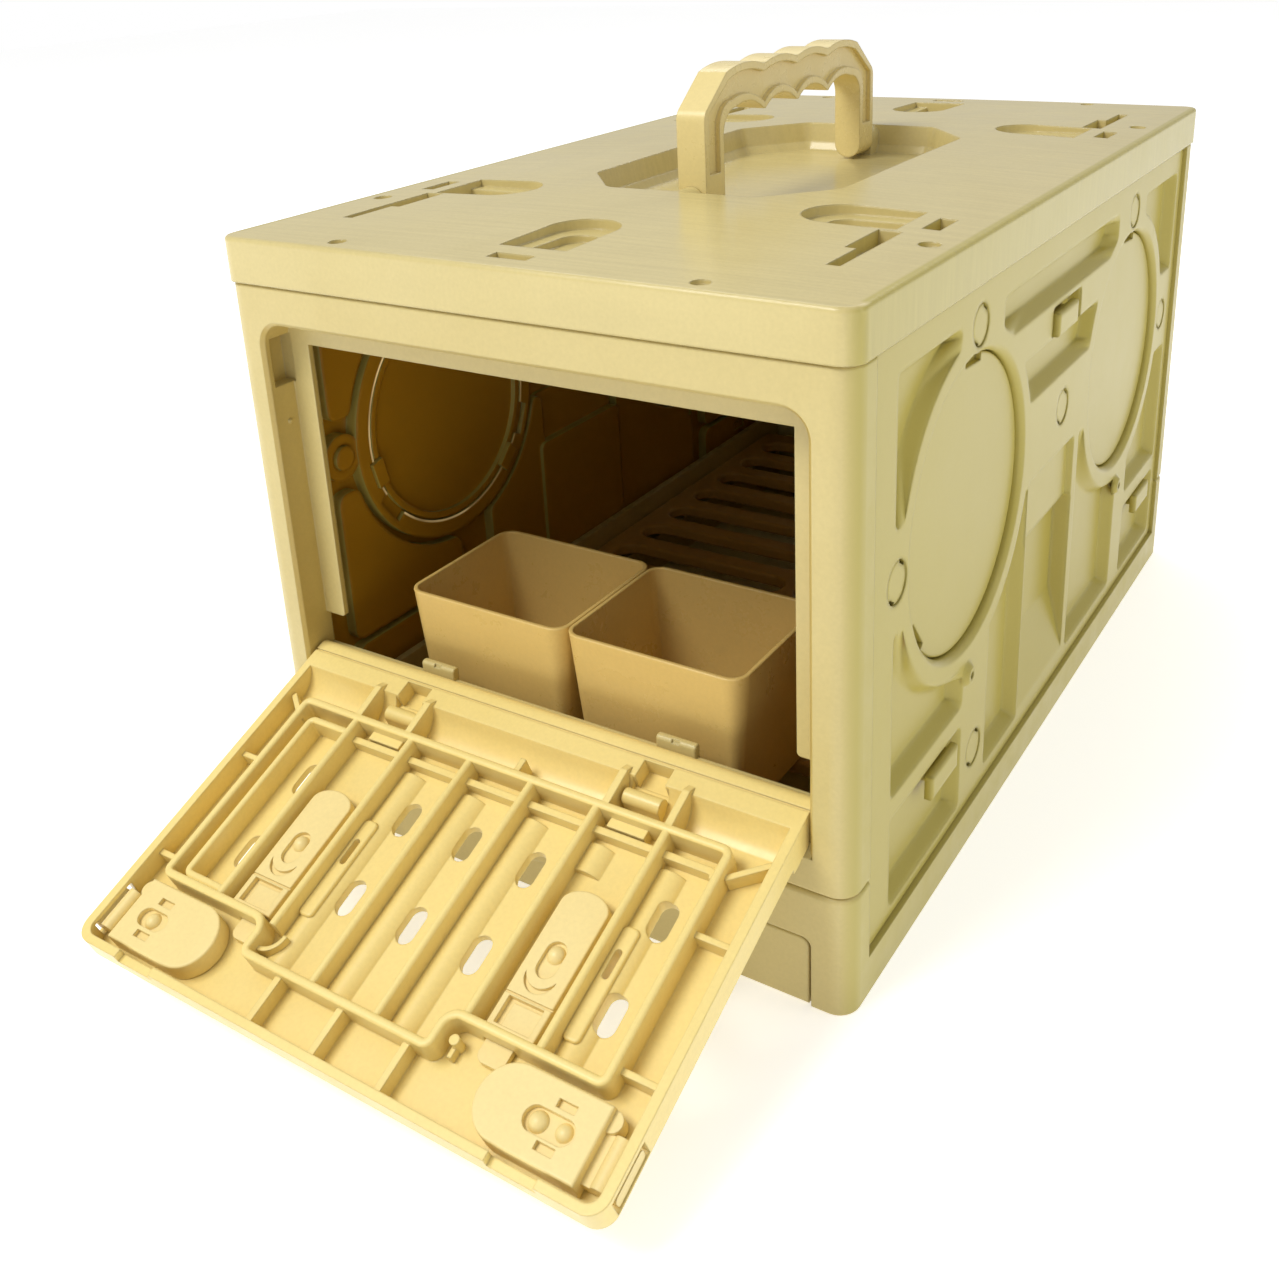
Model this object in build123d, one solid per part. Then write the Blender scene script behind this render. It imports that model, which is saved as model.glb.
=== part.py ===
from build123d import *
import math
import os

os.makedirs("parts", exist_ok=True)

# ----------------------------------------------------------------------------
# Small-bird travel carrier: moulded shell with a drop-down front door, a fold
# flat top handle, four twist-off round side hatches, a lift-off lid, a slide
# out waste tray, a lift-out floor grille and two feed cups.
# Millimetres.  While building, y runs from the front face (0) to the back
# (DEPTH); every node is moved by -DEPTH/2 at the end so that the origin is the
# centre of the base's underside.
# ----------------------------------------------------------------------------

# body
WIDTH = 220.0
DEPTH = 356.0
HX = WIDTH / 2
BASE_TOP = 41.0          # top of the base's front and back blocks
SEAM = 198.0             # top of the frames, under the lid
LID_Z0 = 198.4
LID_EDGE = 213.0         # lid's top at its edge
LID_CROWN = 216.2        # lid's top in the middle
LID_HX = 110.6
CORNER_R = 7.0
FRAME_T = 13.0           # how far a frame runs along the side
SKIRT = 14.0             # height of the base's skirt under the side panels

# door opening
OPEN_HX = 97.0
OPEN_TOP = 185.3
OPEN_R = 8.0
SILL_FRONT = 52.5

# side panel
PX = 108.5               # outer surface of the side panel
PT = 2.6                 # wall
HATCH_Y = (90.0, 266.0)
HATCH_Z = 127.0
HATCH_R = 48.5           # recess
COVER_R = 48.0
SEAT_X = 102.6           # seat the cover lies on
RING_X = 100.8           # inner end of the seat ring
BOSS_R = 56.0
POCKET_D = 4.5
POCKET_TAPER = 38.0

# door, in its own frame: x along the hinge, y towards the hinge, z = inner normal
DOOR_HX = 96.0
DOOR_LEN = 111.0
DOOR_FLOOR = -7.5
DOOR_SKIN = -9.8
HINGE_V, HINGE_H, HINGE_R = 8.5, -3.5, 3.5
DOOR_TILT = 21.75        # below horizontal, as it hangs open
DOOR_ORG = (0.0, -2.35, 63.9)

# handle
HANDLE_HALF = 68.0
HANDLE_W = 11.0
PIVOT_Z = 211.0
HANDLE_TOP = 253.5
RECESS_HX, RECESS_HY = 48.0, 77.0
RECESS_FLOOR = 204.6
PIN_R = 2.0

# cups
CUP_D, CUP_H = 56.0, 56.0
GRILLE_TOP = 33.0
CUP_TAPER = 5.0

MID = DEPTH / 2


def bx(x0, x1, y0, y1, z0, z1):
    return Pos((x0 + x1) / 2, (y0 + y1) / 2, (z0 + z1) / 2) * Box(
        abs(x1 - x0), abs(y1 - y0), abs(z1 - z0)
    )


def cylx(x0, x1, y, z, r):
    return Pos((x0 + x1) / 2, y, z) * Rot(0, 90, 0) * Cylinder(r, abs(x1 - x0))


def cyly(y0, y1, x, z, r):
    return Pos(x, (y0 + y1) / 2, z) * Rot(90, 0, 0) * Cylinder(r, abs(y1 - y0))


def cylz(z0, z1, x, y, r):
    return Pos(x, y, (z0 + z1) / 2) * Cylinder(r, abs(z1 - z0))


def slab(sk, z0, z1):
    """A flat outline in XY made solid from z0 to z1."""
    return extrude(Plane.XY.offset(z0) * sk, z1 - z0)


def slab_yz(sk, x0, x1):
    """An outline drawn as (y, z), solid from x0 to x1 (x1 > x0)."""
    return extrude(Plane.YZ.offset(x0) * sk, x1 - x0)


def slab_xz(sk, y0, y1):
    """An outline drawn as (x, z), solid from y0 to y1 (y1 > y0)."""
    return extrude(Plane.XZ.offset(-y1) * sk, y1 - y0)


def rect(a0, a1, b0, b1):
    return Pos((a0 + a1) / 2, (b0 + b1) / 2) * Rectangle(a1 - a0, b1 - b0)


def rrect(a0, a1, b0, b1, r):
    return Pos((a0 + a1) / 2, (b0 + b1) / 2) * RectangleRounded(a1 - a0, b1 - b0, r)


def poly(*pts):
    return make_face(Polyline(*pts, close=True))


def stadium(xc, yc, length, width, along="y"):
    s = SlotOverall(length, width)
    if along == "y":
        s = Rot(0, 0, 90) * s
    return Pos(xc, yc) * s


def place(shape):
    return Pos(0, -MID, 0) * shape


def joined(*shapes):
    """One solid, or a group of separate solids, from several shapes."""
    out = shapes[0]
    for s in shapes[1:]:
        out = out + s
    return out


def group(*shapes):
    solids = []
    for s in shapes:
        solids += list(s.solids())
    return Compound(children=solids)


written = {}


def write(name, shape, color=None):
    s = place(shape)
    sol = s.solids()
    s = sol[0] if len(sol) == 1 else Compound(children=list(sol))
    export_step(s, f"parts/{name}.step")
    bb = s.bounding_box()
    written[name] = (len(sol), s.volume, bb)
    print(
        f"{name:26s} solids {len(sol):2d} vol {s.volume/1000:8.2f} cm3  "
        f"x {bb.min.X:7.1f}..{bb.max.X:6.1f} y {bb.min.Y:7.1f}..{bb.max.Y:6.1f} z {bb.min.Z:6.1f}..{bb.max.Z:6.1f}",
        flush=True,
    )


def soft(shape, edges, r):
    """Round the edges if the geometry allows it, else leave them."""
    for k in (r, r * 0.7, r * 0.4):
        try:
            out = fillet(edges, k)
            if out.is_valid and out.volume > 0:
                return out
        except Exception:
            pass
    return shape


# --------------------------------------------------------------------- base
outline = Pos(0, MID) * RectangleRounded(WIDTH, DEPTH, CORNER_R)


def make_base():
    b = slab(outline, 0.0, BASE_TOP)
    b = soft(b, b.faces().sort_by(Axis.Z)[-1].edges(), 1.6)
    b = soft(b, b.faces().sort_by(Axis.Z)[0].edges(), 1.0)
    # gutter under the side panels, and the bay between the frames
    for s in (-1, 1):
        b -= bx(s * 99.0, s * 120, FRAME_T, DEPTH - FRAME_T, SKIRT, 60)
        b -= bx(s * 99.0, s * 106.8, FRAME_T + 3, DEPTH - FRAME_T - 3, 2.5, SKIRT - 3)
    b -= bx(-96, 96, 3.2, DEPTH - 3.2, 2.5, 60)
    # tray mouth
    b -= bx(-97.6, 97.6, -5, 3.3, -5, 24.8)
    b -= bx(-96, 96, -5, 3.3, -5, 24.8)
    b = soft(
        b,
        b.edges().filter_by(Axis.Y).filter_by(
            lambda e: abs(abs(e.center().X) - 97.6) < 0.2 and abs(e.center().Z - 24.8) < 0.2
        ),
        3.0,
    )
    # runners: the tray slides under them, the grille rests on them
    for s in (-1, 1):
        b += bx(s * 90.0, s * 96.2, 16, DEPTH - 16, 25.4, 27.8)
    b += bx(-90.2, 90.2, DEPTH - 9.5, DEPTH - 3.0, 25.4, 27.8)
    # back stop for the tray
    b += bx(-60, -40, DEPTH - 9.5, DEPTH - 3.0, 2.4, 12)
    b += bx(40, 60, DEPTH - 9.5, DEPTH - 3.0, 2.4, 12)
    return b


# --------------------------------------------------------------- waste tray
def make_tray():
    y1 = DEPTH - 12.0
    t = bx(-92, 92, 3.0, y1, 3.0, 22.5)
    t = soft(t, t.edges().filter_by(Axis.Z).filter_by(lambda e: e.center().Y > 100), 5.0)
    t -= bx(-90, 90, 5.6, y1 - 2.0, 5.0, 40)
    front = bx(-96.6, 96.6, 0.5, 3.15, 0.6, 23.9)
    front = soft(
        front,
        front.edges().filter_by(Axis.Y).filter_by(lambda e: e.center().Z > 20),
        3.0,
    )
    front = soft(front, front.faces().sort_by(Axis.Y)[0].edges(), 0.7)
    t = joined(t, front)
    # finger pull under the edge of the front
    pull = slab_xz(Pos(0, 0.6) * Circle(13), -2, 2.2)
    t -= pull
    # rim bead
    rim = bx(-93.4, 93.4, 3.0, y1 + 0.6, 21.3, 22.5) - bx(-90, 90, 5.6, y1 - 2.0, 20, 40)
    t += rim
    return t


# ------------------------------------------------------------- floor grille
def make_grille():
    y0, y1 = 16.5, DEPTH - 16.5
    g = slab(rrect(-95.3, 95.3, y0, y1, 4), 28.2, GRILLE_TOP)
    cuts = []
    n = 13
    pitch = (y1 - y0 - 14.0) / n
    for i in range(n):
        yc = y0 + 7.0 + pitch * (i + 0.5)
        for s in (-1, 1):
            cuts.append(
                Pos(s * 45.5, yc, 30) * extrude(SlotOverall(84.0, pitch - 9.2), 8, both=True)
            )
    g = g - cuts
    g = soft(g, g.faces().sort_by(Axis.Z)[-1].edges(), 1.2)
    return g


# -------------------------------------------------------------- end frames
def frame_blank():
    sk = outline
    f = slab(sk, BASE_TOP + 0.3, SEAM)
    f = f & bx(-HX - 1, HX + 1, -1, FRAME_T, 0, 300)
    return f


def opening_sketch(grow=0.0, bottom=30.0):
    hx = OPEN_HX + grow
    top = OPEN_TOP + grow
    f = poly((-hx, bottom), (hx, bottom), (hx, top), (-hx, top))
    return fillet(
        f.vertices().filter_by(lambda v: v.Y > top - 1), OPEN_R
    )


def make_front_frame():
    f = frame_blank()
    f = soft(f, f.edges().filter_by(lambda e: e.center().Z > SEAM - 0.01 and e.center().Y < FRAME_T - 1), 1.0)
    f = soft(f, f.edges().filter_by(lambda e: e.center().Z < BASE_TOP + 0.31 and e.center().Y < FRAME_T - 1), 1.2)
    # clear opening, stopping at the sill
    f -= slab_xz(opening_sketch(bottom=SILL_FRONT), -5, FRAME_T + 1)
    # chamfered mouth
    outer = [
        e
        for e in f.edges()
        if abs(e.center().Y) < 0.05
        and e.bounding_box().max.Z > SILL_FRONT + 1
        and e.bounding_box().max.Z < OPEN_TOP + 0.2
        and abs(e.center().X) < OPEN_HX + 0.2
        and e.bounding_box().max.X < OPEN_HX + 0.2
        and e.bounding_box().min.X > -OPEN_HX - 0.2
    ]
    try:
        g = chamfer(outer, 1.2)
        if g.is_valid:
            f = g
    except Exception:
        pass
    # hollow posts and lintel
    for s in (-1, 1):
        f -= bx(s * 103.4, s * 107.4, 3.0, FRAME_T + 1, 60, 182)
    f -= bx(-90, 90, 3.0, FRAME_T + 1, 188.0, 195.6)
    # sill: slope, round trough for the door's hinge bead, low wall behind it
    hy = DOOR_ORG[1] + HINGE_V * math.cos(math.radians(DOOR_TILT)) - HINGE_H * math.sin(math.radians(DOOR_TILT))
    hz = DOOR_ORG[2] + HINGE_V * math.sin(math.radians(DOOR_TILT)) + HINGE_H * math.cos(math.radians(DOOR_TILT))
    sill = poly(
        (0.0, SILL_FRONT - 2),
        (0.0, SILL_FRONT),
        (5.6, 58.2),
        (hy + 4.0, 60.0),
        (hy + 4.0, 64.4),
        (FRAME_T, 64.4),
        (FRAME_T, SILL_FRONT - 2),
    )
    sill = slab_yz(sill, -OPEN_HX - 0.5, OPEN_HX + 0.5)
    trough = cylx(-120, 120, hy, hz, HINGE_R + 0.45)
    sill -= trough
    f += sill
    # hollow behind the sill
    f -= bx(-94, 94, 3.0, FRAME_T + 1, 44.0, 51.0)
    # stop lip behind the door
    lip = bx(-OPEN_HX - 1, OPEN_HX + 1, 11.0, FRAME_T, 77.0, OPEN_TOP + 1) - slab_xz(
        poly((-88, 60), (88, 60), (88, 176.5), (-88, 176.5)), 0, 20
    )
    lip = soft(
        lip,
        lip.edges().filter_by(Axis.Y).filter_by(lambda e: e.center().Z < 78),
        1.4,
    )
    f += lip
    # latch strikes in the posts, and a small detent bump under each
    for s in (-1, 1):
        f -= bx(s * 96, s * 101.8, 3.0, 12.0, 163.0, 179.5)
        f += Pos(s * 97.0, 7.0, 150.0) * Sphere(0.9) & bx(s * 90, s * 98, 0, 13, 140, 160)
        # sockets for the hinge pins
        f -= cylx(s * 96, s * 100.2, hy, hz, 1.56)
    # clip blocks on the wall behind the hinge bead
    for xc in (-47.0, 47.0):
        k = bx(xc - 7.0, xc + 7.0, 11.2, FRAME_T + 1.2, 60, 68.8)
        k = soft(k, k.edges().filter_by(Axis.X).filter_by(lambda e: e.center().Z > 65), 1.2)
        k = soft(k, k.edges().filter_by(Axis.Y).filter_by(lambda e: e.center().Z > 65), 0.6)
        k -= bx(xc - 1.4, xc + 1.4, 10, 12.0, 67.6, 72)
        f += k
    return f


def make_rear_frame():
    f = frame_blank()
    f = soft(f, f.edges().filter_by(lambda e: e.center().Z > SEAM - 0.01 and e.center().Y < FRAME_T - 1), 1.0)
    f = soft(f, f.edges().filter_by(lambda e: e.center().Z < BASE_TOP + 0.31 and e.center().Y < FRAME_T - 1), 1.2)
    f -= slab_xz(rrect(-OPEN_HX, OPEN_HX, 56.0, OPEN_TOP, OPEN_R), -5, FRAME_T + 1)
    outer = [
        e
        for e in f.edges()
        if abs(e.center().Y) < 0.05
        and e.bounding_box().max.Z < OPEN_TOP + 0.2
        and e.bounding_box().min.Z > 55
        and abs(e.center().X) < OPEN_HX + 0.2
        and e.bounding_box().max.X < OPEN_HX + 0.2
        and e.bounding_box().min.X > -OPEN_HX - 0.2
    ]
    try:
        g = chamfer(outer, 1.2)
        if g.is_valid:
            f = g
    except Exception:
        pass
    for s in (-1, 1):
        f -= bx(s * 99.4, s * 107.4, 3.0, FRAME_T + 1, 60, 182)
    f -= bx(-90, 90, 3.0, FRAME_T + 1, 188.0, 195.6)
    f -= bx(-94, 94, 3.0, FRAME_T + 1, 44.0, 53.0)
    # rebate lip that the panel sits against
    lip = slab_xz(
        rrect(-OPEN_HX - 1, OPEN_HX + 1, 55.0, OPEN_TOP + 1, OPEN_R), 8.6, 10.6
    ) - slab_xz(rrect(-92, 92, 61.0, 180.0, 5), 0, 20)
    f += lip
    return Pos(0, DEPTH, 0) * Rot(0, 0, 180) * f


def make_rear_panel():
    # built as a front panel, then turned round to the back
    p = slab_xz(rrect(-OPEN_HX + 0.3, OPEN_HX - 0.3, 56.3, OPEN_TOP - 0.3, OPEN_R - 0.3), 2.6, 8.6)
    p = soft(p, p.faces().sort_by(Axis.Y)[0].edges(), 1.2)
    p -= slab_xz(rrect(-OPEN_HX + 3, OPEN_HX - 3, 59.0, OPEN_TOP - 3, OPEN_R - 2), 5.2, 9)
    # raised field with upright vent slots
    fld = extrude(Plane.XZ.offset(-2.7) * rrect(-80, 80, 70, 172, 8), 1.7, taper=35)
    p += fld
    cuts = []
    for i in range(7):
        xc = -66 + 22 * i
        for zc in (96.0, 146.0):
            cuts.append(slab_xz(stadium(xc, zc, 34, 6), -2, 12))
    p = p - cuts
    ribs = []
    for xc in (-55, -33, -11, 11, 33, 55):
        ribs.append(bx(xc - 1, xc + 1, 5.0, 8.4, 62, 180))
    for r in ribs:
        p += r
    return Pos(0, DEPTH, 0) * Rot(0, 0, 180) * p


# -------------------------------------------------------------- side panels
P_Y0, P_Y1 = FRAME_T + 0.3, DEPTH - FRAME_T - 0.3
P_Z0, P_Z1 = 14.25, 197.9


def pocket_sketches():
    """Outlines (y, z) of the sunk fields between the hatch bosses."""
    c1 = Pos(HATCH_Y[0], HATCH_Z) * Circle(BOSS_R)
    c2 = Pos(HATCH_Y[1], HATCH_Z) * Circle(BOSS_R)
    out = []
    out.append(("tl", rect(30, 76, 143, 188) - c1, POCKET_D))
    out.append(("tm", rect(113, 243, 173, 188) - c1 - c2, POCKET_D))
    out.append(("mid", rect(136, 220, 143.5, 160) - c1 - c2, POCKET_D))
    out.append(("tr", rect(283, 335, 146, 188) - c2, POCKET_D))
    out.append(("l2", rect(30, 88, 57, 111) - c1, POCKET_D))
    out.append(("l3", rect(30, 88, 18.5, 50), POCKET_D))
    out.append(("p4", rect(112, 146.5, 20.5, 112) - c1, POCKET_D))
    out.append(("p5", rect(206, 268, 20.5, 112) - c2, POCKET_D))
    out.append(("r2", rect(285, 336, 57, 111) - c2, POCKET_D))
    out.append(("r3", rect(285, 336, 18.5, 50), POCKET_D))
    out.append(("hk", rect(164, 197, 158.5, 171), POCKET_D))
    return out


def round_corners(sk, r):
    for k in (r, r * 0.6, r * 0.3):
        try:
            s = fillet(sk.vertices(), k)
            if s.area > 0.5 * sk.area:
                return s
        except Exception:
            pass
    return sk


def sunk(sk, x, depth, taper):
    """Solid of a sunk field: outline at x, narrowing inwards (towards -x)."""
    face = Plane.YZ.offset(x) * sk
    for t in (taper, taper * 0.7, taper * 0.4, 0.0):
        try:
            s = extrude(face, -depth, taper=t)
            if s.volume > 0 and s.is_valid:
                return s
        except Exception:
            pass
    return extrude(face, -depth)


def make_side_panel():
    base = rrect(P_Y0, P_Y1, P_Z0, P_Z1, 4.0)
    p = slab_yz(base, PX - PT, PX)
    # raised border line round the field, low step
    p = soft(p, p.faces().sort_by(Axis.X)[-1].edges(), 0.6)
    # inward flange
    fl = slab_yz(rrect(P_Y0, P_Y1, P_Z0, P_Z1, 4.0), 100.0, PX - PT + 0.5) - slab_yz(
        rrect(P_Y0 + 2.4, P_Y1 - 2.4, P_Z0 + 2.4, P_Z1 - 2.4, 2.5), 90, 120
    )
    p += fl
    fields = []
    for name, sk, d in pocket_sketches():
        fields.append((name, round_corners(sk, 2.2), d))
    # backs of the sunk fields, drawn as one outline
    backs = None
    for name, sk, d in fields:
        big = offset(sk, 2.2, kind=Kind.INTERSECTION)
        backs = big if backs is None else backs + big
    p += slab_yz(backs, PX - POCKET_D - PT, PX - 0.8)
    # deep recess with a ramp at its foot
    deep_out = poly((144.5, 17.6), (203.0, 17.6), (203.0, 93.0), (144.5, 93.0))
    p += slab_yz(round_corners(deep_out, 3.0), PX - 6.2 - PT, PX - 0.8)
    shallow = round_corners(rect(146.5, 200, 88, 113), 2.5)
    p += slab_yz(offset(shallow, 1.5), PX - 2.0 - PT, PX - 0.8)
    for name, sk, d in fields:
        p -= sunk(sk, PX + 0.001, d, POCKET_TAPER) if name != "hk" else sunk(sk, PX + 0.001, d, 10)
    p -= sunk(shallow, PX + 0.001, 2.0, 30)
    deep = round_corners(rect(147.5, 200.5, 20.5, 90.0), 3.0)
    dcut = sunk(deep, PX + 0.001, 6.2, 12)
    ramp = poly((20.0, PX + 0.6), (20.0, PX - 8), (50.0, PX - 6.3), (24.0, PX - 0.2))
    # ramp drawn as (z, x) and swept along y
    rp = extrude(
        Plane(origin=(0, 140, 0), x_dir=(0, 0, 1), z_dir=(0, 1, 0)) * ramp, 70
    )
    dcut -= rp
    p -= dcut
    # round boss ring round each hatch, a hair proud, and the hatch seat
    for yc in HATCH_Y:
        p += cylx(RING_X, PX, yc, HATCH_Z, HATCH_R + 2.6) & bx(90, 120, yc - 60, yc + 60, 60, 190)
        p -= cylx(SEAT_X, 120, yc, HATCH_Z, HATCH_R)
        p -= cylx(90, 120, yc, HATCH_Z, HATCH_R - 4.4)
        edge = [
            e
            for e in p.edges().filter_by(GeomType.CIRCLE)
            if abs(e.center().X - PX) < 0.01 and abs(e.radius - HATCH_R) < 0.01 and abs(e.arc_center.Y - yc) < 0.1
        ]
        try:
            g = chamfer(edge, 1.5)
            if g.is_valid:
                p = g
        except Exception:
            pass
        # entry gates for the bayonet lugs
        for a in (97, 217, 337):
            ya = yc + (HATCH_R - 3.4) * math.cos(math.radians(a))
            za = HATCH_Z + (HATCH_R - 3.4) * math.sin(math.radians(a))
            gate = Pos(0, ya, za) * Rot(a, 0, 0) * Box(30, 5.6, 13)
            p -= (Pos(104.0, 0, 0) * gate) & bx(98.0, SEAT_X + 0.1, 0, DEPTH, 0, 220)
    # seats for the round plugs
    for y, z in PLUGS:
        p += cylx(101.2, PX - 0.5, y, z, 8.6)
        p -= cylx(103.0, 120, y, z, 6.75)
        p -= cylx(95, 120, y, z, 4.6)
    # small raised nubs with a peep hole below each hatch
    for yc in HATCH_Y:
        nub = Pos(PX - 0.2, yc + 2.0, 67.0) * Rot(0, 90, 0) * Cone(4.6, 2.8, 2.0, align=(Align.CENTER, Align.CENTER, Align.MIN))
        p += nub
        p -= cylx(90, 120, yc + 2.0, 67.0, 1.3)
    # slots for the hooks' feet
    for y0, z0 in HOOKS:
        p -= bx(90, PX - POCKET_D + 0.4, y0 + 10.0, y0 + 20.0, z0 + 2.0, z0 + 6.0)
    return p


PLUGS = [(32.0, 127.0), (92.0, 184.5), (182.0, 130.0), (266.0, 184.5), (326.0, 127.0), (101.0, 34.0)]
HOOKS = [(60.0, 38.5), (303.0, 40.0), (167.0, 160.0)]


def make_plugs():
    out = []
    for y, z in PLUGS:
        c = cylx(103.15, PX - 0.25, y, z, 6.45)
        c = soft(c, c.faces().sort_by(Axis.X)[-1].edges(), 0.5)
        c += cylx(99.6, 103.3, y, z, 4.5)
        for a in (55, 235):
            ya = y + 6.4 * math.cos(math.radians(a))
            za = z + 6.4 * math.sin(math.radians(a))
            c -= Pos(PX, ya, za) * Rot(a, 0, 0) * Box(3.0, 2.2, 3.6)
        out.append(c)
    return group(*out)


def make_hooks():
    """Strap hooks: an L-shaped plate standing off the floor of its sunk field."""
    out = []
    for y0, z0 in HOOKS:
        xf = PX - POCKET_D
        foot = bx(xf - 2.2, xf + 2.4, y0 + 10.2, y0 + 19.8, z0 + 2.2, z0 + 5.8)
        web = bx(xf + 0.05, xf + 6.1, y0 + 9.0, y0 + 22.0, z0, z0 + 5.9)
        plate = bx(xf + 3.4, xf + 6.1, y0, y0 + 22.0, z0, z0 + 8.4)
        h = joined(web, plate, foot)
        h = soft(h, h.faces().sort_by(Axis.X)[-1].edges(), 0.9)
        out.append(h)
    return group(*out)


def make_hatch(yc, mirror_notch=False):
    """Round twist-off cover: a flat disc with a bevelled rim, three lugs behind and finger notches."""
    c = cylx(SEAT_X + 0.25, PX - 2.5, yc, HATCH_Z, COVER_R)
    top = c.faces().sort_by(Axis.X)[-1].edges()
    c = soft(c, top, 1.0)
    # low spigot behind with the lugs
    rs = HATCH_R - 5.1
    c += cylx(RING_X + 0.1, SEAT_X + 0.4, yc, HATCH_Z, rs) - cylx(90, SEAT_X + 0.3, yc, HATCH_Z, rs - 2.6)
    for a in (97 - 22, 217 - 22, 337 - 22):
        ya = yc + rs * math.cos(math.radians(a))
        za = HATCH_Z + rs * math.sin(math.radians(a))
        c += Pos(0, ya, za) * Rot(a, 0, 0) * (bx(98.9, RING_X - 0.15, -2.6, 2.9, -5.2, 5.2))
        c += Pos(0, ya, za) * Rot(a, 0, 0) * (bx(98.9, RING_X + 0.5, -2.5, -0.3, -5.2, 5.2))
    # finger notches on the rim
    for a in (86, 218):
        ya = yc + 47.0 * math.cos(math.radians(a))
        za = HATCH_Z + 47.0 * math.sin(math.radians(a))
        c -= Pos(PX - 3.1, ya, za) * Rot(a, 0, 0) * Box(2.6, 4.4, 13.0)
    return c


def mirrored(shape):
    return mirror(shape, Plane.YZ)


# ---------------------------------------------------------------------- lid
def crown_section(y, sag, z0=LID_Z0):
    a = LID_HX
    edges = Wire(
        [
            Edge.make_line((-a, y, z0), (a, y, z0)),
            Edge.make_line((a, y, z0), (a, y, LID_EDGE)),
            Edge.make_three_point_arc((a, y, LID_EDGE), (0, y, LID_EDGE + sag), (-a, y, LID_EDGE)),
            Edge.make_line((-a, y, LID_EDGE), (-a, y, z0)),
        ]
    )
    return Face(edges)


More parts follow.
